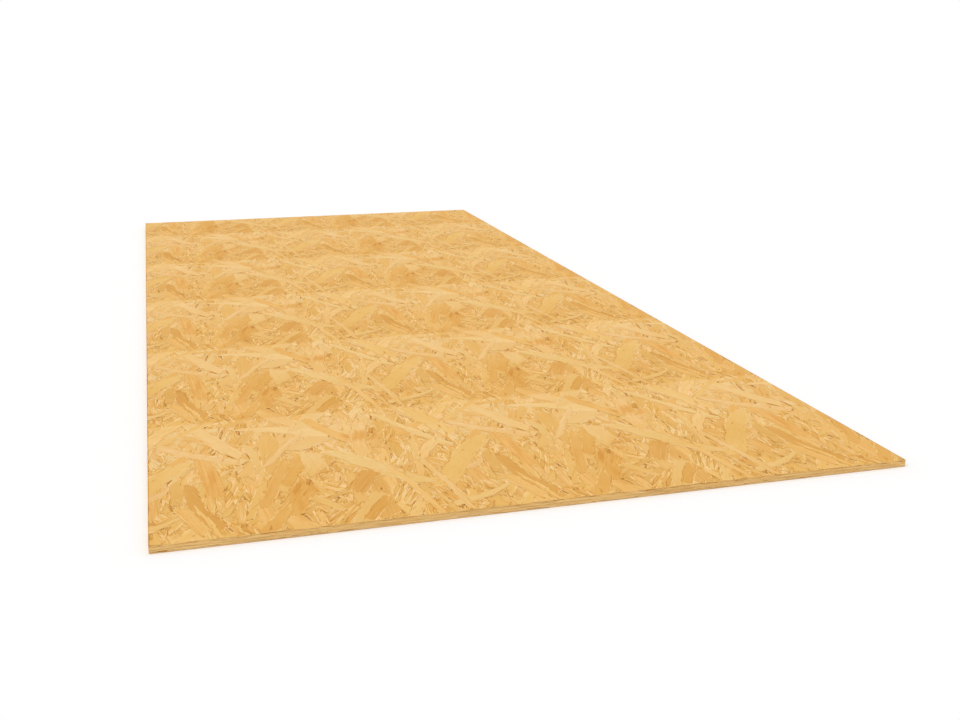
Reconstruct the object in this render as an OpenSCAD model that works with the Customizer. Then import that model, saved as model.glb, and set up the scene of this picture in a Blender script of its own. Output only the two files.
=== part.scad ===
/* [Board] */
// Width, across the run of the surface strands
board_width = 1196; // [300:1:1500]
// Length, along the run of the surface strands
board_length = 2800; // [300:1:3200]
// Thickness of the pressed board
board_thickness = 12; // [6:1:30]

/* [Sawn edges] */
// Width of the wear on each sawn arris
arris = 0.3; // [0.1:0.1:2]

/* [Hidden] */
strand_amber = [0.90, 0.71, 0.42];

// A rectangle centred on the origin, each corner cut off at 45 degrees
module clipped_rectangle(width, height, cut) {
    x = width / 2;
    y = height / 2;
    polygon([
        [x, y - cut], [x - cut, y],
        [cut - x, y], [-x, y - cut],
        [-x, cut - y], [cut - x, -y],
        [x - cut, -y], [x, cut - y],
    ]);
}

// One pressed board, flat on its underside. Its plan, its cross section and its long
// section are each a clipped rectangle, so all twelve arrises are worn alike.
module osb_board() {
    color(strand_amber)
        translate([0, 0, board_thickness / 2])
            intersection() {
                linear_extrude(board_thickness, center = true)
                    clipped_rectangle(board_width, board_length, arris);
                rotate([90, 0, 0])
                    linear_extrude(board_length, center = true)
                        clipped_rectangle(board_width, board_thickness, arris);
                rotate([90, 0, 90])
                    linear_extrude(board_width, center = true)
                        clipped_rectangle(board_length, board_thickness, arris);
            }
}

osb_board();
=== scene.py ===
import math

import bpy
import numpy as np
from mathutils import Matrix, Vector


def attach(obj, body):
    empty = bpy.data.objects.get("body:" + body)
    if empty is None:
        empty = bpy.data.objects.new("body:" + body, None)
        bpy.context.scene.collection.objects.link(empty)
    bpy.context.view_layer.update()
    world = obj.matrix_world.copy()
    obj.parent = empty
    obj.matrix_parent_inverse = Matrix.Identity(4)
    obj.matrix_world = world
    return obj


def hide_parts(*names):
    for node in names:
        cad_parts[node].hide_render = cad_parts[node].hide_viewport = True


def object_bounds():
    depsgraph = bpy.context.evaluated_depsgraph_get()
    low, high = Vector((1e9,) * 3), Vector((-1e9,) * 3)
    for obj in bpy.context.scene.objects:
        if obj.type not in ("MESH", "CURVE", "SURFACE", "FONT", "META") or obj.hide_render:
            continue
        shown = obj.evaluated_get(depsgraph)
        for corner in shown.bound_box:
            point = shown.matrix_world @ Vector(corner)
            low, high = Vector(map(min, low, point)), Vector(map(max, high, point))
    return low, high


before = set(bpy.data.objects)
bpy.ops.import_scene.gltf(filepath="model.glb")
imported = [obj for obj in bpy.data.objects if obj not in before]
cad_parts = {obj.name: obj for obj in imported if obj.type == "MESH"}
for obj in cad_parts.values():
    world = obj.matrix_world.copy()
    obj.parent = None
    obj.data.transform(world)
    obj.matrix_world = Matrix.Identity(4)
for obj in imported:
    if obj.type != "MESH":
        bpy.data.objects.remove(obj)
cadLow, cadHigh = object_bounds()
mm = 0.001

# Camera
view = {
    "place": (-0.5499, -2.8923, 0.6897),
    "turn": 15.81,  # degrees from +Y towards +X
    "drop": 16.19,  # degrees below level
    "lens": 42.74,
    "sensor": 36,
}


def setCamera():
    data = bpy.data.cameras.new("camera")
    data.lens = view["lens"]
    data.sensor_width = view["sensor"]
    data.clip_start, data.clip_end = 0.05, 200
    camera = bpy.data.objects.new("camera", data)
    camera.location = view["place"]
    camera.rotation_euler = (math.radians(90 - view["drop"]), 0, math.radians(-view["turn"]))
    bpy.context.scene.collection.objects.link(camera)
    bpy.context.scene.camera = camera


setCamera()
print("camera set")

# The six sides of the board. Each has its middle, two directions that run over it, the
# direction that it faces, and half its size both ways, in millimetres.
boardHalf = np.array([(cadHigh[i] - cadLow[i]) / 2 for i in range(3)]) / mm
boardMiddle = np.array([(cadHigh[i] + cadLow[i]) / 2 for i in range(3)]) / mm


def side(over, up):
    over, up = np.array(over, float), np.array(up, float)
    out = np.cross(over, up)
    return {
        "middle": boardMiddle + out * boardHalf,
        "over": over,
        "up": up,
        "out": out,
        "half": np.array([abs(over) @ boardHalf, abs(up) @ boardHalf]),
    }


sides = {
    "top": side((1, 0, 0), (0, 1, 0)),
    "under": side((-1, 0, 0), (0, 1, 0)),
    "longRight": side((0, 1, 0), (0, 0, 1)),
    "longLeft": side((0, -1, 0), (0, 0, 1)),
    "shortFar": side((-1, 0, 0), (0, 0, 1)),
    "shortNear": side((1, 0, 0), (0, 0, 1)),
}

# Strands. A batch is a dictionary of arrays with one value for each strand: its place on the
# side, its size and lean, how it bows, how both ends narrow and slant, and its colour.
strandShape = {
    "sizes": (1.6, 2.2),  # the weights of a beta draw, which gives more small strands than large
    "whole": (0.75, 1),  # width of an end that isn't split, as a share of the strand's width
    "taperPower": 0.8,
    "steepest": 0.4,  # the most that an end slants, so that both ends never meet
    "waves": ((0.1, 9, 1, 2), (0.08, 19, 2, 5)),  # height, turns along, start and turns across
    "waveTurn": 40,
    "bowMiddle": 0.4,
    "roughPower": 1.5,
    "rankSpread": 0.00001,  # keeps the strands of a bundle in one order
}

# What a kind of strand is where it doesn't say otherwise.
plainKind = {
    "band": (0, 1),  # how far out from the middle of the side, as shares
    "beyond": (0, 0),  # how far past the side its middle may lie
    "astray": 0,  # the share that leans anyhow, up to astrayLean either way
    "astrayLean": 0,
    "torn": (0.08, 0.5),  # width of a split end, as a share of the strand's width
    "taper": (0.12, 0.45),  # the share of the length over which an end narrows
    "rough": 0,  # the most that chance breaks it into crumbs
    "crumbs": 0,  # and how much it is broken anyhow
    "rank": (0, 1),  # its place in the stack, from the pressed face down
    "bundle": 1,
}


def drawStrands(random, kinds, count, half):
    # A kind may come in bundles, whose strands share a middle, a lean and a place in the stack.
    batches = {}
    for name, own in kinds.items():
        kind = {**plainKind, **own}
        bundles = int(count * kind["share"] / kind["bundle"]) + 1
        n = bundles * kind["bundle"]
        near, far = kind["band"]
        reach = half + kind["beyond"]
        middle = np.stack([
            random.uniform(-1, 1, bundles) * reach[0],
            random.choice([-1, 1], bundles) * random.uniform(near, far, bundles) * reach[1],
        ])
        lean = np.where(
            random.random(bundles) < kind["astray"],
            kind["lean"] + random.uniform(-1, 1, bundles) * kind["astrayLean"],
            random.normal(kind["lean"], kind["swing"], bundles),
        )
        rank = random.uniform(*kind["rank"], bundles)
        tone = random.normal(kind["tone"], kind["toneSpread"], bundles)
        if kind["bundle"] > 1:
            repeated = (np.repeat(v, kind["bundle"], -1) for v in (middle, lean, rank, tone))
            middle, lean, rank, tone = repeated
            middle = middle + random.normal(0, 1, (2, n)) * np.array(kind["scatter"])[:, None]
            lean = lean + random.normal(0, kind["swing"], n)
            tone = tone + random.normal(0, kind["toneSpread"], n)
        length = between(kind["length"], random.beta(*strandShape["sizes"], n))
        width = between(kind["width"], random.beta(*strandShape["sizes"], n))
        steepest = strandShape["steepest"] * length / width
        batches[name] = {
            "over": middle[0],
            "up": middle[1],
            "length": length,
            "width": width,
            "lean": lean,
            "bow": random.normal(0, kind["bow"], n),
            "tip": np.where(
                random.random((2, n)) < kind["split"],
                random.uniform(*kind["torn"], (2, n)),
                random.uniform(*strandShape["whole"], (2, n)),
            ),
            "taper": random.uniform(*kind["taper"], (2, n)),
            "slant": np.clip(random.normal(0, kind["slant"], (2, n)), -steepest, steepest),
            "tone": tone,
            "warmth": random.random(n),
            "seed": random.random(n),
            "rough": kind["rough"] * random.random(n) ** strandShape["roughPower"] + kind["crumbs"],
            "rank": rank + strandShape["rankSpread"] * random.random(n),
        }
    return batches


def between(limits, share):
    return limits[0] + (limits[1] - limits[0]) * share


splinterShape = {
    "along": (0.05, 0.95),  # where on its strand it lies
    "across": (0.55, 1.02),
    "sizes": (1.3, 2.6),
    "tip": (0.05, 0.7),
    "taper": 0.4,
    "slant": 0.8,
    "rough": 0.3,
    "rise": (-1, 0.6),  # from under its strand to over it, in lifts
}


def drawSplinters(random, parents, settings):
    # Torn splinters along both edges of the upper strands. Each lies at a random share of its
    # strand's length, on one of its edges, and follows its lean.
    upper = np.flatnonzero(parents["rank"] < settings["rank"])
    parent = take(parents, np.repeat(upper, settings["each"]))
    n = len(parent["length"])
    shape = splinterShape
    share = random.uniform(*shape["along"], n)[:, None]
    edge = (random.choice([-1, 1], n) * random.uniform(*shape["across"], n))[:, None]
    points = strandPoints(parent, share, edge)[0]
    turned = np.degrees(4 * parent["bow"] * (2 * share[:, 0] - 1))
    return {
        "over": points[:, 0, 0],
        "up": points[:, 0, 1],
        "length": between(settings["length"], random.beta(*shape["sizes"], n)),
        "width": between(settings["width"], random.beta(*shape["sizes"], n)),
        "lean": parent["lean"] + turned + random.normal(0, settings["swing"], n),
        "bow": np.zeros(n),
        "tip": random.uniform(*shape["tip"], (2, n)),
        "taper": np.full((2, n), shape["taper"]),
        "slant": random.normal(0, shape["slant"], (2, n)),
        "tone": parent["tone"] + random.normal(0, settings["toneSpread"], n),
        "warmth": random.random(n),
        "seed": random.random(n),
        "rough": np.full(n, shape["rough"]),
        "rank": parent["rank"] + random.uniform(*shape["rise"], n) * settings["lift"],
    }


def strandPoints(batch, share, edge):
    # share runs from 0 to 1 along each strand and edge from -1 to 1 across it. Along the strand a
    # point is (share - 1/2) times the length, and the ends slant by a part of the width. Across it
    # is edge times the half width, narrowed near each end by a power of the distance to the end
    # and waved by two sines of share and edge, so that no side is straight, plus a bow that is a
    # parabola of share. Both are then turned by the lean.
    column = {key: value[..., None] for key, value in batch.items()}
    ends = (share, 1 - share)
    narrow = 1.0
    for end in (0, 1):
        tip, taper = column["tip"][end], column["taper"][end]
        closing = np.clip(ends[end] / taper, 0, 1) ** strandShape["taperPower"]
        narrow = np.minimum(narrow, tip + (1 - tip) * closing)
    turn = strandShape["waveTurn"] * column["seed"]
    waved = 1
    for height, turnsAlong, start, turnsAcross in strandShape["waves"]:
        waved = waved + height * np.sin(turnsAlong * share + start * turn + turnsAcross * edge)
    narrow = narrow * waved
    halfWidth = column["width"] / 2
    slant = edge * (column["slant"][0] * (1 - share) + column["slant"][1] * share) * halfWidth
    along = (share - 0.5) * column["length"] + slant
    bend = (2 * share - 1) ** 2 - strandShape["bowMiddle"]
    across = edge * halfWidth * narrow + column["bow"] * column["length"] * bend
    lean = np.radians(column["lean"])
    over = column["over"] + along * np.sin(lean) + across * np.cos(lean)
    up = column["up"] + along * np.cos(lean) - across * np.sin(lean)
    return np.stack([over, up], -1), along, across


def take(batch, kept):
    return {key: value[..., kept] for key, value in batch.items()}


saw = {
    "looks": 61,  # places looked at along each edge
    "spare": 0.02,  # how far past the side a cut goes, in steps
    "shortest": 3,
    "least": 1e-9,  # stands for nothing in a division
    "pitch": 0.7,  # cells between places in stacking, so that none is missed
}


def sawToSize(batch, half):
    # Finds the stretch of each edge that lies on the side, by looking at places along it and then
    # along the line between the last one on the side and the first one off it.
    share = np.linspace(0, 1, saw["looks"])
    step = share[1]
    starts, stops, found = [], [], []
    for edge in (-1, 1):
        points = strandPoints(batch, share[None, :], edge)[0]
        beyond = (np.abs(points) - half).max(-1)
        on = beyond <= 0
        rows = np.arange(len(on))
        first, last = on.argmax(1), len(share) - 1 - on[:, ::-1].argmax(1)
        before, after = np.maximum(first - 1, 0), np.minimum(last + 1, len(share) - 1)
        entry = np.maximum(beyond[rows, before] - beyond[rows, first], saw["least"])
        leaving = np.maximum(beyond[rows, after] - beyond[rows, last], saw["least"])
        gain, loss = beyond[rows, before] / entry, -beyond[rows, last] / leaving
        starts.append(np.where(first > 0, share[before] + step * (gain - saw["spare"]), 0))
        stops.append(np.where(last < len(share) - 1, share[last] + step * (loss + saw["spare"]), 1))
        found.append(on.any(1))
    for a, b in ((0, 1), (1, 0)):  # an edge that is all off the side goes as far as the other one
        starts[a] = np.where(found[a], starts[a], starts[b])
        stops[a] = np.where(found[a], stops[a], stops[b])
    batch = dict(batch, start=np.stack(starts), stop=np.stack(stops))
    left = (batch["stop"] - batch["start"]).min(0) * batch["length"]
    return take(batch, (found[0] | found[1]) & (left > saw["shortest"]))


def sawnPoints(batch, share, edge, half):
    # The same surface over the stretch that the saw left.
    weight = (edge + 1) / 2
    start = batch["start"][0][:, None] * (1 - weight) + batch["start"][1][:, None] * weight
    stop = batch["stop"][0][:, None] * (1 - weight) + batch["stop"][1][:, None] * weight
    share = start + (stop - start) * share
    points, along, across = strandPoints(batch, share, edge)
    return np.clip(points, -half, half), along, across, share


def untwisted(batch, stations, half):
    # Leaves out a strand whose outline the saw made cross itself, which is where one of the two
    # triangles of a quad has an area below nothing.
    share = np.linspace(0, 1, stations)[None, :]
    left, right = (sawnPoints(batch, share, edge, half)[0] for edge in (-1, 1))
    corners = left[:, :-1], right[:, :-1], right[:, 1:], left[:, 1:]
    sound = np.ones(len(left), bool)
    for second, third in ((1, 2), (2, 3)):
        a, b = corners[second] - corners[0], corners[third] - corners[0]
        sound &= (a[..., 0] * b[..., 1] - a[..., 1] * b[..., 0] >= 0).all(1)
    return take(batch, sound)


def layDown(batches, half, cell):
    # Stacks the strands from the pressed face down. Each covers some cells of the side and lies one
    # level under the lowest strand that it shares a cell with. One that is hidden all over stays
    # at level -1 and is left out.
    cell = np.array(cell, float)
    size = np.ceil(2 * half / cell).astype(int) + 1
    covers, order = {}, []
    for name, batch in batches.items():
        length, width = batch["length"].max(initial=1), batch["width"].max(initial=1)
        pitch = saw["pitch"] * cell
        longways = np.linspace(0, 1, int(length / pitch.max()) + 2)
        crossways = np.linspace(-1, 1, int(width / pitch.min()) + 2)
        share, edge = (grid.ravel()[None, :] for grid in np.meshgrid(longways, crossways))
        places = sawnPoints(batch, share, edge, half)[0]
        index = ((places + half) / cell).astype(int)
        covers[name] = index[..., 0] * size[1] + index[..., 1]
        count = len(batch["length"])
        order += [(rank, name, i) for i, rank in enumerate(batch["rank"])]
        batch["level"] = np.full(count, -1)
    depth = np.zeros(size.prod(), int)
    for _, name, i in sorted(order):
        cells = covers[name][i]
        if depth[cells].all():
            continue
        level = depth[cells].max()
        batches[name]["level"][i] = level
        depth[cells] = level + 1
    bare = (depth == 0).mean()
    kept = {name: take(batch, batch["level"] >= 0) for name, batch in batches.items()}
    return kept, bare, depth.max()


def press(name, batches, kinds, half, cell):
    # Saws every strand to size and stacks them all.
    for kind, batch in batches.items():
        batches[kind] = untwisted(sawToSize(batch, half), kinds[kind]["stations"], half)
    batches, bare, deepest = layDown(batches, half, cell)
    print(name, "bare", round(bare, 4), "levels", deepest)
    return batches


plateLie = {
    "uneven": 0.45,  # how far strands of one level differ in depth, in levels
    "drift": np.array([7, 3]),  # how far apart strands read their grain, in metres
}


def plates(batch, stations, face, lie):
    # Each strand is a thin closed plate: a grid of stations along it and its two edges, at the
    # depth of its level and again a plate's thickness below.
    half = face["half"] - lie["rim"]
    count = len(batch["length"])
    share = np.repeat(np.linspace(0, 1, stations), 2)[None, :]
    edge = np.tile([-1.0, 1.0], stations)[None, :]
    points, along, across, share = sawnPoints(batch, share, edge, half)
    if "wave" in lie:
        calm = 1 - (points[..., 1] / half[1]) ** 2
        points[..., 1] += lie["wave"](points[..., 0]) * np.clip(calm, 0, 1)
    front = lie["step"] * (batch["level"] + plateLie["uneven"] * batch["seed"])
    depth = front[:, None, None] + np.array([0, lie["plate"]])
    flat = points[:, :, None, :]
    place = face["middle"] + flat[..., :1] * face["over"] + flat[..., 1:] * face["up"]
    place = place - depth[..., None] * face["out"]

    def each(values):
        # one value for a strand or a corner, spread to all the points
        values = values if values.ndim > 1 else values[:, None]
        return np.repeat(np.broadcast_to(values, (count, 2 * stations))[..., None], 2, -1).ravel()

    run = np.arange(stations - 1)[:, None] * 4
    last = 4 * (stations - 1)
    quads = {
        "back": run + [1, 5, 7, 3],
        "walls": np.concatenate([
            run + [2, 3, 7, 6],
            run + [0, 4, 5, 1],
            [[0, 1, 3, 2]],
            [[last, last + 2, last + 3, last + 1]],
        ]),
        "front": run + [0, 2, 6, 4],
    }
    base = np.arange(count)[:, None, None] * 4 * stations
    drift = plateLie["drift"] * np.stack([batch["seed"], batch["warmth"]], -1)
    return {
        "place": place.reshape(-1, 3) * mm,
        "flat": np.stack([each(points[..., 0]), each(points[..., 1])], -1),
        "centre": each(batch["over"]),
        "grain": np.stack([each(along * mm + drift[:, :1]), each(across * mm + drift[:, 1:])], -1),
        "dye": np.stack([each(batch[key]) for key in ("tone", "warmth", "seed")], -1),
        "spot": np.stack([each(edge), each(share), each(batch["rough"])], -1),
        "size": np.stack([each(batch["width"] / 2), each(batch["length"]), each(front)], -1),
        "faces": {key: (base + value).reshape(-1, 4) for key, value in quads.items()},
        "depth": np.repeat(front, stations - 1),
    }


def joinPlates(parts):
    # One mesh from several kinds. Backs and walls come first and the fronts go from the deepest
    # to the top one.
    keys = ("place", "flat", "centre", "grain", "dye", "spot", "size", "depth")
    joined = {key: np.concatenate([part[key] for part in parts]) for key in keys}
    base = np.cumsum([0] + [len(part["place"]) for part in parts])
    faces = {
        key: np.concatenate([part["faces"][key] + first for part, first in zip(parts, base)])
        for key in ("back", "walls", "front")
    }
    topmostLast = np.argsort(-joined["depth"], kind="stable")
    joined["faces"] = np.concatenate([faces["back"], faces["walls"], faces["front"][topmostLast]])
    return joined


def addPiece(name, mesh, finish):
    mesh.materials.append(finish)
    piece = bpy.data.objects.new(name, mesh)
    bpy.context.scene.collection.objects.link(piece)
    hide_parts("osb_board")
    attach(piece, "root")
    print(name, len(mesh.polygons), "faces")


def addPlates(name, parts, finish, unfold):
    joined = joinPlates(parts)
    faces = joined["faces"].astype(np.int32)
    corners = faces.ravel()
    mesh = bpy.data.meshes.new(name)
    mesh.vertices.add(len(joined["place"]))
    mesh.vertices.foreach_set("co", joined["place"].astype(np.float32).ravel())
    mesh.loops.add(len(corners))
    mesh.loops.foreach_set("vertex_index", corners)
    mesh.polygons.add(len(faces))
    mesh.polygons.foreach_set("loop_start", np.arange(len(faces), dtype=np.int32) * 4)
    mesh.update(calc_edges=True)
    mesh.shade_flat()
    for label, values in (("OFBake", unfold(joined)), ("grain", joined["grain"])):
        layer = mesh.uv_layers.new(name=label, do_init=False)
        layer.uv.foreach_set("vector", values[corners].astype(np.float32).ravel())
    mesh.uv_layers["grain"].active_render = True
    for label in ("dye", "spot", "size"):
        attribute = mesh.attributes.new(label, "FLOAT_VECTOR", "POINT")
        attribute.data.foreach_set("vector", joined[label].astype(np.float32).ravel())
    addPiece(name, mesh, finish)


# Shader maths
crumbShape = {"bendScale": 0.9, "bend": (0.4, 1, 1), "crack": (0.02, 0.16)}


class Wire:
    # One output of a node. A sum written with wires adds its own Math nodes.
    def __init__(self, shading, socket):
        self.shading, self.socket = shading, socket

    def __add__(self, other):
        return self.shading.sum("ADD", self, other)

    def __sub__(self, other):
        return self.shading.sum("SUBTRACT", self, other)

    def __rsub__(self, other):
        return self.shading.sum("SUBTRACT", other, self)

    def __mul__(self, other):
        return self.shading.sum("MULTIPLY", self, other)

    def __abs__(self):
        return self.shading.sum("ABSOLUTE", self)

    __radd__, __rmul__ = __add__, __mul__


class Shading:
    def __init__(self, tree):
        self.tree = tree
        tree.nodes.clear()

    def node(self, kind, settings=None, sockets=None, output=0):
        made = self.tree.nodes.new(kind)
        for name, value in (settings or {}).items():
            setattr(made, name, value)
        for name, value in (sockets or {}).items():
            if isinstance(value, Wire):
                self.tree.links.new(value.socket, made.inputs[name])
            else:
                made.inputs[name].default_value = value
        return Wire(self, made.outputs[output]) if made.outputs else None

    def sum(self, operation, *values):
        return self.node("ShaderNodeMath", {"operation": operation}, dict(enumerate(values)))

    def parts(self, vector):
        split = self.node("ShaderNodeSeparateXYZ", {}, {0: vector})
        return [Wire(self, socket) for socket in split.socket.node.outputs]

    def noise(self, vector, stretch, detail=2.0):
        stretched = self.vector("MULTIPLY", vector, stretch)
        return self.node("ShaderNodeTexNoise", {}, {"Vector": stretched, "Scale": 1, "Detail": detail})

    def attribute(self, name):
        return self.parts(self.node("ShaderNodeAttribute", {"attribute_name": name}, output="Vector"))

    def vector(self, operation, *values):
        return self.node("ShaderNodeVectorMath", {"operation": operation}, dict(enumerate(values)))

    def crumbs(self, vector, stretch):
        # Long bent cells: two random values for each, and the cracks between them, which the strand
        # finish darkens as painted shade.
        stretched = self.vector("MULTIPLY", vector, stretch)
        noise = {"Vector": stretched, "Scale": crumbShape["bendScale"]}
        bend = self.node("ShaderNodeTexNoise", {}, noise, "Color")
        bent = self.vector("MULTIPLY_ADD", bend, crumbShape["bend"], stretched)
        colour = self.node("ShaderNodeTexVoronoi", {}, {"Vector": bent, "Scale": 1}, "Color")
        settings = {"feature": "DISTANCE_TO_EDGE"}
        border = self.node("ShaderNodeTexVoronoi", settings, {"Vector": bent, "Scale": 1}, "Distance")
        first, second, _ = self.parts(colour)
        return first, second, 1 - self.rise(border, *crumbShape["crack"])

    def rise(self, value, low, high):
        # from 0 below low to 1 above high
        sockets = {"Value": value, "From Min": low, "From Max": high}
        return self.node("ShaderNodeMapRange", {"interpolation_type": "SMOOTHSTEP"}, sockets)

    def mix(self, share, first, second, kind="MIX"):
        settings = {"data_type": "RGBA", "blend_type": kind}
        return self.node("ShaderNodeMix", settings, {0: share, 6: first, 7: second}, 2)


def paint(red, green, blue):
    # the linear colour of an ordinary 0 to 255 one
    shares = [value / 255 for value in (red, green, blue)]
    return tuple(s / 12.92 if s <= 0.04045 else ((s + 0.055) / 1.055) ** 2.4 for s in shares) + (1,)


def newFinish(name):
    material = bpy.data.materials.new(name)
    material.use_nodes = True
    return material, Shading(material.node_tree)


def surface(shading, colour, roughness, height, settings):
    # The last nodes of every finish. Height is in millimetres.
    bump = shading.node("ShaderNodeBump", {}, {"Height": height * mm, "Distance": 1.0, "Strength": 1.0})
    sockets = {
        "Base Color": colour,
        "Roughness": roughness,
        "Normal": bump,
        "Specular IOR Level": settings["gloss"],
    }
    wood = shading.node("ShaderNodeBsdfPrincipled", {}, sockets)
    shading.node("ShaderNodeOutputMaterial", {}, {"Surface": wood})


def woodColour(shading, tone, look):
    # Brown, and each next colour laid over it as the tone rises over its own span.
    colour = look["brown"]
    for name, span in look["tones"].items():
        colour = shading.mix(shading.rise(tone, *span), colour, look[name])
    return colour


strandLook = {
    "cream": paint(246, 208, 148),
    "amber": paint(236, 187, 107),
    "deep": paint(219, 160, 74),
    "brown": paint(184, 124, 56),
    "dust": paint(196, 140, 64),
    "stain": (0.93, 0.8, 0.66, 1),
    "straw": (0.982, 1.02, 0.98, 1),
    "peach": (1.018, 0.978, 1.005, 1),
    "dull": (0.97, 0.98, 1.03, 1),
    "vivid": (1.03, 1.02, 0.97, 1),
    "flecks": 0.45,
    "fray": 3.4,  # how far the outline of a strand frays
    "coarse": 0.4,
    "ends": 0.5,  # the ends fray twice as far as the sides
    "worn": 14,  # how much further lower strands do, here and there
    "gloss": 0.1,
    "roughness": 0.72,
    "fibreGloss": 0.15,
    "redder": 0.2,  # how much redder dark strands are
    "relief": (0.03, 0.1),  # of the grain and of crumbs, in millimetres
    "knots": [
        {"length": 56, "width": 44, "lean": 55, "strength": 0.75},
        {"length": 130, "width": 56, "lean": 30, "strength": 0.35},
        {"length": 110, "width": 14, "lean": 10, "strength": 0.25},
        {"length": 150, "width": 18, "lean": 5, "strength": 0.3},
    ],
    "knotSeed": 5,
    "knotPlaces": (0.15, 0.85),  # as shares of a course
    "knotRim": (-0.3, 0.8),  # how softly the stain ends
    "knotBlur": (0.9, 1.2),  # how ragged its outline is, in patches and in crumbs
    # times to the metre that each pattern repeats, along and across the strands
    "bands": (4.5, 130, 1),
    "streaks": (11, 300, 1),
    "fibres": (22, 900, 1),
    "fleckGrain": (50, 520, 1),
    "crumbs": (27, 200, 1),
    # and right, ahead and up on the board
    "cloud": (12, 8, 12),
    "wornGrain": (14, 9, 14),
    "knotGrain": (60, 38, 60),
    "rippleGrain": (11, 3, 11),
    "show": {  # how much each of them moves the tone
        "bands": 0.8, "streaks": 1.6, "fibres": 0.7, "chips": 2.5, "cracksWithPaintedShade": 1.9, "crumbs": 0.2,
        "cloud": 1.4, "knot": 1.2, "sawn": 1.9,
    },
    "tones": {"deep": (-3.2, -1.2), "amber": (-1.9, 0.3), "cream": (-0.3, 1.9)},
    "crackShade": 0.8,
    "crumbTone": 0.42,  # keeps crumbs as light as whole wood
    "frayTone": 0.4,  # how much of its strand's tone a frayed outline keeps
    "stripes": (0.4, 1.6),  # how striped the plainest strands are, and how much more others are
    "striped": (0.4, 0.9),  # the warmth over which they turn so
    "frayEdge": (-0.6, 0.6),
    "crumbled": (1, 1.1),  # how rough a strand is that is all crumbs
    "specks": (0.6, 0.72),
    "wornRise": (0.46, 0.64),
    "wornDepth": (0.03, 0.22),  # only strands that lie this deep are worn
    "darkerNearLongSides": (2.4, 0.6),  # the face turns darker over these last millimetres before the long sides
}


def courseLook(shading, place, chips):
    # How far the tone rises over each course, which starts amber and ends pale, and the share of
    # stain around its knots. A knot is an ellipse with a ragged outline, at a place drawn by chance.
    right, ahead, _ = shading.parts(place)
    course = faceStrands["course"]
    ripple = faceStrands["ripple"] * (shading.noise(place, strandLook["rippleGrain"]) - 0.5)
    gone = shading.sum("FRACT", ahead * (1 / course / mm) + courseShift[1] + ripple)
    passed = shading.sum("FRACT", right * (1 / course / mm) + courseShift[0])
    up, down = shading.rise(gone, *faceStrands["rises"]), shading.rise(gone, *faceStrands["falls"])
    rising = faceStrands["swing"] * (up - down)
    patchy, chipped = strandLook["knotBlur"]
    blur = patchy * (shading.noise(place, strandLook["knotGrain"]) - 0.5) + chipped * (chips - 0.5)
    stain = 0
    knots = strandLook["knots"]
    random = np.random.default_rng(strandLook["knotSeed"])
    knotPlaces = random.uniform(*strandLook["knotPlaces"], (len(knots), 2))
    for knot, knotPlace in zip(knots, knotPlaces.tolist()):
        right, ahead = course * (passed - knotPlace[0]), course * (gone - knotPlace[1])
        cosine, sine = math.cos(math.radians(knot["lean"])), math.sin(math.radians(knot["lean"]))
        along = (cosine * ahead + sine * right) * (2 / knot["length"])
        across = (cosine * right - sine * ahead) * (2 / knot["width"])
        away = shading.sum("SQRT", along * along + across * across)
        stain = shading.rise(1 - away + blur, *strandLook["knotRim"]) * knot["strength"] + stain
    return rising, stain


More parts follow.
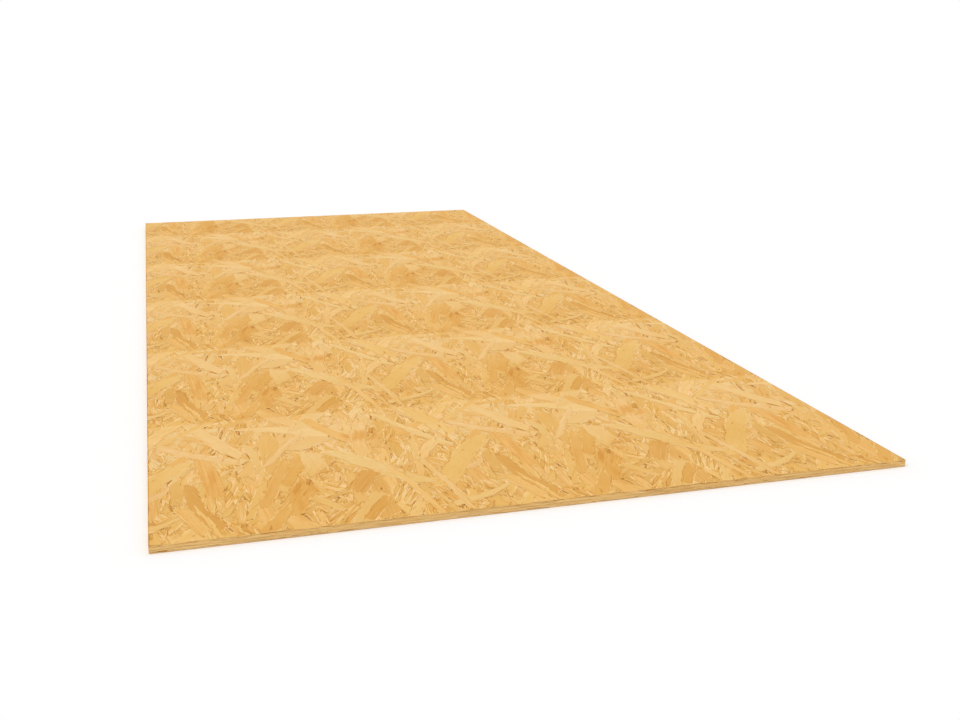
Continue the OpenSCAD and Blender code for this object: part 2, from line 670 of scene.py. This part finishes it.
def strandFinish(name, courses):
    # The colour goes with the tone. Bands of later wood, streaks and dark flecks run along the
    # grain. The roughest strands are all crumbs, and the outline of every other one frays into
    # crumbs too, over a few millimetres.
    look, show = strandLook, strandLook["show"]
    material, shading = newFinish(name)
    grain = shading.node("ShaderNodeUVMap", {"uv_map": "grain"})
    place = shading.node("ShaderNodeTexCoord", output="Object")
    tone, warmth, seed = shading.attribute("dye")
    edge, share, rough = shading.attribute("spot")
    halfWidth, length, depth = shading.attribute("size")

    bands = shading.noise(grain, look["bands"]) - 0.5
    streaks = shading.noise(grain, look["streaks"]) - 0.5
    fibres = shading.noise(grain, look["fibres"]) - 0.5
    flecks = shading.noise(grain, look["fleckGrain"])
    cloud = shading.noise(place, look["cloud"]) - 0.5
    chips, hues, cracksWithPaintedShade = shading.crumbs(grain, look["crumbs"])
    # Painted shade: the cracks between the crumbs are darkened as if shade fell in them.
    crumbs = show["chips"] * (chips - 0.5)
    crumbs = crumbs - show["cracksWithPaintedShade"] * cracksWithPaintedShade * (fibres + look["crackShade"]) + look["crumbTone"]

    toSide, toEnd = (1 - abs(edge)) * halfWidth, (0.5 - abs(share - 0.5)) * length * look["ends"]
    inner = shading.sum("MINIMUM", toSide, toEnd)
    zone = shading.rise(shading.noise(place, look["wornGrain"]), *look["wornRise"])
    zone = zone * shading.rise(depth, *look["wornDepth"])
    reach = look["fray"] * (flecks + look["coarse"] * rough) + look["worn"] * zone * flecks
    fray = shading.rise(reach - inner, *look["frayEdge"])
    fray = shading.sum("MAXIMUM", fray, shading.rise(rough, *look["crumbled"]))
    hue = warmth - look["redder"] * tone
    plain, added = look["stripes"]
    stripes = plain + added * shading.rise(warmth, *look["striped"])
    lines = show["bands"] * bands + show["streaks"] * streaks + show["fibres"] * fibres
    wood = tone + stripes * lines + show["crumbs"] * rough * crumbs
    tone = wood + fray * (look["frayTone"] * tone + crumbs - wood) + show["cloud"] * cloud

    over = shading.parts(place)[0]
    knot = 0
    if courses:
        rising, knot = courseLook(shading, place, chips)
        tone = tone + rising
    # The face turns darker near the long sides.
    sawn = shading.rise(abs(over), *((boardHalf[0] - rim) * mm for rim in look["darkerNearLongSides"]))
    tone = tone - show["knot"] * knot - show["sawn"] * sawn

    colour = woodColour(shading, tone, look)
    if courses:
        colour = shading.mix(knot, colour, look["stain"], "MULTIPLY")
    hue = hue + fray * (hues - hue)
    colour = shading.mix(1, colour, shading.mix(hue, look["straw"], look["peach"]), "MULTIPLY")
    colour = shading.mix(1, colour, shading.mix(seed, look["dull"], look["vivid"]), "MULTIPLY")
    speck = look["flecks"] * (look["coarse"] + rough) * shading.rise(flecks, *look["specks"])
    colour = shading.mix(speck, colour, look["dust"])

    roughness = look["roughness"] + look["fibreGloss"] * fibres
    grainDeep, crumbDeep = look["relief"]
    torn = fray * (crumbDeep * chips - crumbDeep * cracksWithPaintedShade)
    height = grainDeep * streaks + grainDeep * fibres + torn
    surface(shading, colour, roughness, height, look)
    return material


sawnLook = {
    "pale": paint(245, 210, 152),
    "amber": paint(238, 195, 126),
    "deep": paint(224, 175, 104),
    "brown": paint(180, 132, 72),
    "ply": 4.8,  # from one pale band to the next
    "plyStart": 3.0,
    "low": (1.015, 1.03, 1.05, 1),
    "high": (1.03, 1.01, 0.93, 1),
    "fibres": (120, 2600, 1),  # times to the metre, as on the faces
    "pores": (700, 700, 260),
    "show": {"ply": 0.35, "fibres": 1.2, "pores": 0.8, "flakeSideShade": 0.2},
    "tones": {"deep": (-2.4, -0.9), "amber": (-1.1, 0.1), "pale": (-0.1, 1.1)},
    "flakeSideShade": (-0.12, 0),  # a darker line along each flake's sides, painted shade where the flakes meet
    "warmer": (3, 8),  # the heights between which the edge turns warmer
    "gloss": 0.15,
    "roughness": 0.8,
    "relief": 0.03,  # in millimetres
}


def sawnFinish():
    # Cut across, the strands are matte. The tone goes up and down with a cosine of the height,
    # because layers of paler and darker strands alternate, and fine saw lines stand upright.
    look, show = sawnLook, sawnLook["show"]
    material, shading = newFinish("sawn strands")
    grain = shading.node("ShaderNodeUVMap", {"uv_map": "grain"})
    place = shading.node("ShaderNodeTexCoord", output="Object")
    level = shading.parts(place)[2]
    tone = shading.attribute("dye")[0]
    edge = shading.attribute("spot")[0]
    halfWidth = shading.attribute("size")[0]
    turns = (level - look["plyStart"] * mm) * (2 * math.pi / (look["ply"] * mm))
    fibres = shading.noise(grain, look["fibres"], 3)
    pores = shading.noise(place, look["pores"])
    tone = tone + show["ply"] * shading.sum("COSINE", turns)
    tone = tone + show["fibres"] * (fibres - 0.5) + show["pores"] * (pores - 0.5)
    colour = woodColour(shading, tone, look)
    # Painted shade: each flake is darkened along its sides, where it meets the next flake.
    flakeSideShade = shading.rise(abs(edge) * halfWidth - halfWidth, *look["flakeSideShade"])
    colour = shading.mix(show["flakeSideShade"] * flakeSideShade, colour, look["deep"], "MULTIPLY")
    climb = shading.rise(level, *(limit * mm for limit in look["warmer"]))
    warmer = shading.mix(climb, look["low"], look["high"])
    colour = shading.mix(1, colour, warmer, "MULTIPLY")
    height = look["relief"] * fibres + look["relief"] * pores
    surface(shading, colour, look["roughness"], height, look)
    return material


bedLook = {
    # The gap colours stand for dark fines and resin, and they are also painted shade in the gaps
    # between the strands.
    "gap": paint(216, 154, 72),
    "shade": paint(188, 126, 52),
    "shortArris": paint(236, 188, 112),
    # The long arrises are darker than the short ones.
    "longArris": paint(206, 156, 94),
    "fibres": (260, 90, 260),
    "mottle": (0.35, 0.65),
    "roughness": 0.8,
    "fibreGloss": 0.1,
    "relief": 0.1,  # in millimetres
    "rim": (1, 0.6),  # how far from the sides the arris colour starts and is full
    "gloss": 0.15,
}


def bedFinish():
    # Fines and resin deep between the strands, also darker as painted shade in the gaps, and wood
    # colours on the worn arrises.
    look = bedLook
    material, shading = newFinish("fines resin and painted gap shade")
    place = shading.node("ShaderNodeTexCoord", output="Object")
    over, up, _ = shading.parts(place)
    fibres = shading.noise(place, look["fibres"], 3)
    rimOver = shading.rise(abs(over), *((boardHalf[0] - rim) * mm for rim in look["rim"]))
    rimUp = shading.rise(abs(up), *((boardHalf[1] - rim) * mm for rim in look["rim"]))
    colour = shading.mix(shading.rise(fibres, *look["mottle"]), look["shade"], look["gap"])
    colour = shading.mix(rimUp, colour, look["shortArris"])
    colour = shading.mix(rimOver, colour, look["longArris"])
    roughness = look["roughness"] + look["fibreGloss"] * (fibres - 0.5)
    surface(shading, colour, roughness, look["relief"] * fibres, look)
    return material


# The bed is the body of the board that the strands lie on. It keeps below them and comes out to
# the worn arrises, which no strand covers.
bed = {
    "arris": 0.3,
    "deep": 0.7,  # how far it lies below both faces
    "back": 1.1,  # how far it stands back from the sawn edges
    "skin": 0.02,
}


def bedRing(reach, back, height):
    # A level ring round the board. The sides stand back, and at each corner four points come out
    # to the arris and go back again.
    arris, turn = reach + bed["arris"], back + bed["back"]
    corner = np.array([(back, turn), (reach, arris), (arris, reach), (turn, back)])
    reached = boardHalf[:2] - corner
    turned = boardHalf[:2] - corner[::-1]
    ring = np.concatenate([reached, turned * [-1, 1], reached * [-1, -1], turned * [1, -1]])
    return np.column_stack([ring + boardMiddle[:2], np.full(len(ring), boardMiddle[2] + height)])


def makeBed(finish):
    # The profile of the underside, the side and the top, as a reach, how far the sides stand back
    # and a height, is carried round the board, and a flat face closes it below and above.
    skin, arris, deep = bed["skin"], bed["arris"], bed["deep"]
    top = [
        (skin, bed["back"], arris + deep),
        (skin, skin, skin + arris),
        (skin + arris, skin + arris, skin),
        (arris + deep, arris + deep, deep),
    ]
    profile = [(reach, back, down - boardHalf[2]) for reach, back, down in top[::-1]]
    profile += [(reach, back, boardHalf[2] - down) for reach, back, down in top]
    rings = [bedRing(*row) for row in profile]
    around = len(rings[0])
    step, point = np.meshgrid(np.arange(len(rings) - 1), np.arange(around), indexing="ij")
    here, after = step * around + point, step * around + (point + 1) % around
    faces = np.stack([here, after, after + around, here + around], -1).reshape(-1, 4).tolist()
    faces.append(list(range(around))[::-1])
    faces.append([here[-1, 0] + around + i for i in range(around)])
    mesh = bpy.data.meshes.new("board_bed")
    mesh.from_pydata((np.concatenate(rings) * mm).tolist(), [], faces)
    mesh.shade_flat()
    addPiece("board_bed", mesh, finish)


# The two faces. Lengths are in millimetres, and a lean is in degrees from the board's length
# towards its right. Tone 0 is amber, 1.5 cream, -1.5 deep amber and -3 brown.
faceStrands = {
    "lanes": 4,  # strips that each face is made in
    "count": 23000,
    "cell": (2.4, 2.4),  # the stacking is worked out on cells of this size
    "kept": 0.6,  # how far off the board a strand's middle may be, in lengths
    "wander": 0.02,  # how far the upper strands are moved by chance, as a share of a course
    "course": 500,  # the strands of the top lie in courses of this size
    "calm": (0.2, 0.8),  # how far the colours of the upper strands differ
    "swing": 0.7,  # how far the tone of the surface rises over a course
    "rises": (0.1, 0.9),  # where in the course it starts and ends rising
    "falls": (0.99, 1),
    "ripple": 0.02,  # how far the line between two courses wanders, as a share of a course
    "first": -0.39,  # the tone of a strand at the start of a course
    "later": 0.14,  # how much it gains by the end
    "gain": 1.4,
}
# Courses from the near left corner to the middle of the board, plus whole ones, so that no
# place counts below nothing.
courseShift = 100 + boardHalf[:2] / faceStrands["course"]

faceStrands["kinds"] = {
    "wide": {
        "share": 0.075, "length": (140, 330), "width": (15, 40), "lean": 6, "swing": 18,
        "astray": 0.2, "astrayLean": 70, "bow": 0.012, "split": 0.4, "slant": 0.5,
        "tone": 0, "toneSpread": 0.38, "beyond": (160, 160), "stations": 9, "rough": 0.9,
    },
    "crumb": {
        "share": 0.08, "length": (40, 130), "width": (22, 56), "lean": 0, "swing": 35,
        "bow": 0.02, "split": 0.8, "slant": 0.5, "tone": -0.2, "toneSpread": 0.3,
        "beyond": (60, 60), "stations": 5, "crumbs": 1.2, "rank": (0, 0.7),
    },
    "narrow": {
        "share": 0.2, "length": (55, 190), "width": (7, 19), "lean": 5, "swing": 26,
        "astray": 0.3, "astrayLean": 75, "bow": 0.015, "split": 0.6, "slant": 0.7,
        "tone": 0, "toneSpread": 0.52, "beyond": (90, 90), "stations": 5, "rough": 0.98,
    },
    "sliver": {
        "share": 0.33, "length": (20, 120), "width": (1.8, 6), "lean": 4, "swing": 23,
        "astray": 0.33, "astrayLean": 60, "bow": 0.02, "split": 0.8, "slant": 0.8,
        "tone": 0.05, "toneSpread": 0.4, "beyond": (50, 50), "stations": 3, "rough": 0.4,
        "bundle": 12, "scatter": (14, 30), "rank": (0, 0.8),
    },
    "fine": {
        "share": 0.33, "length": (6, 36), "width": (1.2, 3.4), "lean": 4, "swing": 30,
        "astray": 0.3, "astrayLean": 60, "bow": 0, "split": 0.8, "slant": 0.8,
        "tone": 0, "toneSpread": 0.6, "beyond": (20, 20), "stations": 2, "rough": 0.4,
        "bundle": 24, "scatter": (11, 22), "rank": (0, 0.7),
    },
    # Dark brown flecks: bark and resin, and also painted shade of small gaps between the strands.
    "fleck": {
        "share": 0.05, "length": (3, 9), "width": (1.6, 4.5), "lean": 4, "swing": 25,
        "astray": 0.3, "astrayLean": 80, "bow": 0.02, "split": 0.9, "slant": 0.6,
        "tone": -2.5, "toneSpread": 0.5, "beyond": (5, 5), "stations": 3, "rough": 0.4,
        "rank": (0, 0.3),
    },
    "mat": {
        "share": 0.05, "length": (140, 260), "width": (36, 60), "lean": 5, "swing": 10,
        "bow": 0, "split": 0, "slant": 0.2, "tone": -1.1, "toneSpread": 0.4,
        "beyond": (120, 120), "stations": 2, "crumbs": 1.2, "rank": (1, 2),
    },
}

upperSplinters = {
    "each": 10, "rank": 1, "length": (12, 90), "width": (1, 4.2), "swing": 8,
    "toneSpread": 1.05, "lift": 0.002,
}
faceStrands["splinters"] = {
    "wide": {
        "each": 7, "rank": 0.35, "length": (12, 90), "width": (0.9, 3.6), "swing": 4,
        "toneSpread": 0.65, "lift": 0.002,
    },
    "light": upperSplinters,
    "dark": upperSplinters,
    "narrow": {
        "each": 3, "rank": 0.3, "length": (10, 60), "width": (0.9, 3), "swing": 5,
        "toneSpread": 0.65, "lift": 0.001,
    },
}

# The strands that lie uppermost in every course. Bark shows as crumbled dark spots and as thin
# pointed flecks.
faceStrands["upper"] = {
    "light": {
        "share": 0.023, "length": (80, 270), "width": (8, 44), "lean": 8, "swing": 24,
        "astray": 0.3, "astrayLean": 60, "bow": 0.03, "split": 0.6, "slant": 0.8,
        "tone": 0.42, "toneSpread": 0.22, "stations": 9, "rough": 0.8, "rank": (-0.04, 0.02),
        "torn": (0.4, 0.75), "taper": (0.05, 0.2),
    },
    "dark": {
        "share": 0.017, "length": (80, 250), "width": (10, 44), "lean": 8, "swing": 22,
        "astray": 0.25, "astrayLean": 60, "bow": 0.025, "split": 0.6, "slant": 0.8,
        "tone": -0.54, "toneSpread": 0.22, "stations": 9, "rough": 0.8, "rank": (-0.04, 0.02),
        "torn": (0.4, 0.75), "taper": (0.05, 0.2),
    },
    "broken": {
        "share": 0.008, "length": (60, 140), "width": (18, 38), "lean": 5, "swing": 22,
        "bow": 0.014, "split": 0.8, "slant": 0.5, "tone": -0.4, "toneSpread": 0.45,
        "stations": 5, "crumbs": 1.2, "rank": (-0.04, 0.02),
    },
    "bark spot": {
        "share": 0.003, "length": (22, 36), "width": (10, 15), "lean": 8, "swing": 8,
        "bow": 0.014, "split": 0.9, "slant": 0.5, "tone": -3, "toneSpread": 0.3,
        "stations": 5, "crumbs": 1.2, "rank": (-0.06, -0.05),
    },
    "bark fleck": {
        "share": 0.02, "length": (10, 42), "width": (3, 6), "lean": 8, "swing": 12,
        "bow": 0.014, "split": 1, "slant": 0.4, "tone": -2.6, "toneSpread": 0.4,
        "stations": 3, "rough": 0.6, "crumbs": 0.4, "rank": (-0.08, -0.07),
    },
}


def evenPlaces(random, count):
    # Places from -1 to 1 both ways that keep apart. Each is a fixed step on from the last one,
    # wrapped round at the sides, and is then moved a little by chance.
    plastic = 1.3247  # the steps of this ratio spread most evenly
    step = np.array([[1 / plastic], [1 / plastic**2]])
    share = random.random((2, 1)) + step * np.arange(count)
    share = share + random.normal(0, faceStrands["wander"], (2, count))
    return 2 * (share % 1) - 1


def drawCourse(random):
    # The strands of one course, each place measured from the middle of the course.
    course = faceStrands["course"]
    half = np.full(2, course / 2)
    kinds = {name: dict(kind, beyond=(0, 0)) for name, kind in faceStrands["kinds"].items()}
    count = faceStrands["count"] * course**2 / (4 * boardHalf[0] * boardHalf[1])
    batches = drawStrands(random, kinds, count, half)
    upper = drawStrands(random, faceStrands["upper"], count, half)
    for batch in upper.values():
        batch["over"], batch["up"] = evenPlaces(random, len(batch["over"])) * half[:, None]
        for key in ("warmth", "seed"):  # their colours keep closer together
            batch[key] = between(faceStrands["calm"], batch[key])
    return {**batches, **upper}


def repeatCourse(batch, half):
    # Lays the strands of one course in every course and column of the board, starting at its near
    # left corner, and in those just off the board.
    course = faceStrands["course"]
    columns, rows = np.ceil(2 * half / course).astype(int)
    over, up = np.arange(-1, columns + 1), np.arange(-1, rows + 1)
    column, row = (grid.ravel() for grid in np.meshgrid(over, up))
    n = len(batch["over"])
    copies = {key: np.tile(value, len(row)) for key, value in batch.items()}
    copies["over"] = copies["over"] + np.repeat(column + 0.5, n) * course - half[0]
    copies["up"] = copies["up"] + np.repeat(row + 0.5, n) * course - half[1]
    reach = copies["length"] * faceStrands["kept"]
    return take(copies, (abs(copies["over"]) < half[0] + reach) & (abs(copies["up"]) < half[1] + reach))


def courseTone(up, half):
    # A strand's tone is the first one plus a power of its share of the way over its course: each
    # course is amber where it starts and goes paler towards the next one.
    share = ((up + half[1]) / faceStrands["course"]) % 1
    return faceStrands["first"] + faceStrands["later"] * share ** faceStrands["gain"]


faceLie = {"rim": 0.3, "step": 0.008, "plate": 0.004}


def makeFace(name, random, finish, courses):
    face = sides[name]
    half = face["half"] - faceLie["rim"]
    kinds = {**faceStrands["kinds"], **faceStrands["upper"]}
    if courses:
        batches = drawCourse(random)
    else:
        batches = drawStrands(random, faceStrands["kinds"], faceStrands["count"], half)
    for kind, settings in faceStrands["splinters"].items():
        if kind in batches:
            batches[kind + " splinters"] = drawSplinters(random, batches[kind], settings)
            kinds[kind + " splinters"] = {"stations": 2}
    if courses:
        batches = {kind: repeatCourse(batch, half) for kind, batch in batches.items()}
        for batch in batches.values():
            batch["tone"] = batch["tone"] + courseTone(batch["up"], half)
    batches = press(name, batches, kinds, half, faceStrands["cell"])

    def unfold(joined):
        flat = joined["flat"]
        return (flat - flat.min(0)) / (flat.max(0) - flat.min(0))

    lines = np.linspace(-half[0], half[0], faceStrands["lanes"] + 1)
    lines[0], lines[-1] = -np.inf, np.inf
    for lane in range(faceStrands["lanes"]):
        parts = []
        for kind, batch in batches.items():
            inLane = (batch["over"] >= lines[lane]) & (batch["over"] < lines[lane + 1])
            parts.append(plates(take(batch, inLane), kinds[kind]["stations"], face, faceLie))
        addPlates(f"{name}_strands_{lane + 1}", parts, finish, unfold)


# The sawn edges show the strands from their sides and ends, as thin flakes along the edge. The
# outer layers and the heart of the board run crosswise to each other.
edgeStrands = {
    "each": 1.6,  # flakes to a millimetre of edge
    "cell": (1.2, 0.22),
    "row": 175,  # length of edge in one row of the folded out piece
    "spare": 80,
    "fold": (0.05, 0.9),  # where in its row the edge starts, and the share it fills
    "outer": (0.36, 1.0),  # the two bands of height, as shares of the way out from the middle
    "heart": (0, 0.46),
}


def wave(over):
    # height in millimetres: three sines of the place along the edge, added
    return 0.35 * np.sin(over / 23) + 0.2 * np.sin(over / 9.1 + 1) + 0.25 * np.sin(over / 61 + 2)


edgeLie = {"rim": 0.3, "step": 0.03, "plate": 0.015, "wave": wave}


def makeEdge(name, random, finish, longFlakes, shortFlakes):
    face = sides[name]
    half = face["half"] - edgeLie["rim"]
    common = {
        "lean": 90, "swing": 1.0, "astray": 0.1, "astrayLean": 6, "bow": 0.006, "split": 0.7,
        "slant": 0.3, "tone": 0, "toneSpread": 0.3, "width": (0.5, 1.7), "stations": 5,
    }
    runs = {"share": 0.3, "length": (30, 140), "band": edgeStrands[longFlakes], "beyond": (60, 0)}
    ends = {
        "share": 0.7, "length": (7, 40), "band": edgeStrands[shortFlakes], "beyond": (20, 0),
        "stations": 3,
    }
    kinds = {"runs": {**common, **runs}, "ends": {**common, **ends}}
    count = int(edgeStrands["each"] * 2 * half[0])
    batches = drawStrands(random, kinds, count, half)
    batches = press(name, batches, kinds, half, edgeStrands["cell"])

    def unfold(joined):
        # the edge is folded into rows, each strand in the row that its middle is in
        rows = int(np.ceil(2 * half[0] / edgeStrands["row"]))
        long = 2 * half[0] / rows
        row = np.clip((joined["centre"] + half[0]) // long, 0, rows - 1)
        spare = edgeStrands["spare"]
        across = (joined["flat"][:, 0] + half[0] - row * long + spare) / (long + 2 * spare)
        start, filled = edgeStrands["fold"]
        height = start + filled * (joined["flat"][:, 1] + half[1]) / (2 * half[1])
        return np.stack([across, (row + height) / rows], -1)

    parts = [plates(batch, kinds[kind]["stations"], face, edgeLie) for kind, batch in batches.items()]
    addPlates(f"{name}_edge", parts, finish, unfold)


makeFace("top", np.random.default_rng(11), strandFinish("pressed strand", True), True)
makeFace("under", np.random.default_rng(12), strandFinish("lower pressed strand", False), False)
sawnWood = sawnFinish()
makeEdge("shortNear", np.random.default_rng(21), sawnWood, "heart", "outer")
makeEdge("shortFar", np.random.default_rng(22), sawnWood, "heart", "outer")
makeEdge("longRight", np.random.default_rng(23), sawnWood, "outer", "heart")
makeEdge("longLeft", np.random.default_rng(24), sawnWood, "outer", "heart")
makeBed(bedFinish())
print("board made")

# Floor, world and lamp. The floor and the world are white to the camera.
studio = {
    "floor": (0.93, 0.93, 0.93, 1),
    "floorGlow": 0.07,
    "world": 0.72,
    "sun": 1.02,
    "spread": 50,
    "from": (-0.45, -0.2, 0.87),
    "under": 0.0002,  # metres from the board down to the floor
    "reach": 60,
}


def whiteToCamera(shading):
    # 1 for rays from the camera and for reflections
    path = shading.node("ShaderNodeLightPath").socket.node.outputs
    seen = Wire(shading, path["Is Camera Ray"])
    for ray in ("Is Glossy Ray", "Is Transmission Ray"):
        seen = shading.sum("MAXIMUM", seen, Wire(shading, path[ray]))
    return seen


def makeStudio():
    scene = bpy.context.scene
    scene.view_settings.view_transform = "Standard"
    scene.world = bpy.data.worlds.new("studio")
    scene.world.use_nodes = True
    shading = Shading(scene.world.node_tree)
    strength = studio["world"] + (1 - studio["world"]) * whiteToCamera(shading)
    sky = shading.node("ShaderNodeBackground", {}, {"Color": (1, 1, 1, 1), "Strength": strength})
    shading.node("ShaderNodeOutputWorld", {}, {"Surface": sky})

    sun = bpy.data.lights.new("sun", "SUN")
    sun.energy = studio["sun"]
    sun.angle = math.radians(studio["spread"])
    lamp = bpy.data.objects.new("sun", sun)
    aim = np.array(studio["from"])
    tilt = math.acos(aim[2] / np.linalg.norm(aim))
    lamp.rotation_euler = (tilt, 0, math.atan2(aim[1], aim[0]) + math.pi / 2)
    scene.collection.objects.link(lamp)

    material, shading = newFinish("floor")
    matte = shading.node("ShaderNodeBsdfDiffuse", {}, {"Color": studio["floor"]})
    shine = studio["floorGlow"] * whiteToCamera(shading)
    glow = shading.node("ShaderNodeEmission", {}, {"Strength": shine})
    both = shading.node("ShaderNodeAddShader", {}, {0: matte, 1: glow})
    shading.node("ShaderNodeOutputMaterial", {}, {"Surface": both})
    reach, height = studio["reach"], cadLow[2] - studio["under"]
    mesh = bpy.data.meshes.new("floor")
    signs = [(-1, -1), (1, -1), (1, 1), (-1, 1)]
    corners = [(reach * right, reach * ahead, height) for right, ahead in signs]
    mesh.from_pydata(corners, [], [(0, 1, 2, 3)])
    mesh.materials.append(material)
    floor = bpy.data.objects.new("floor", mesh)
    scene.collection.objects.link(floor)


makeStudio()
print("studio made")
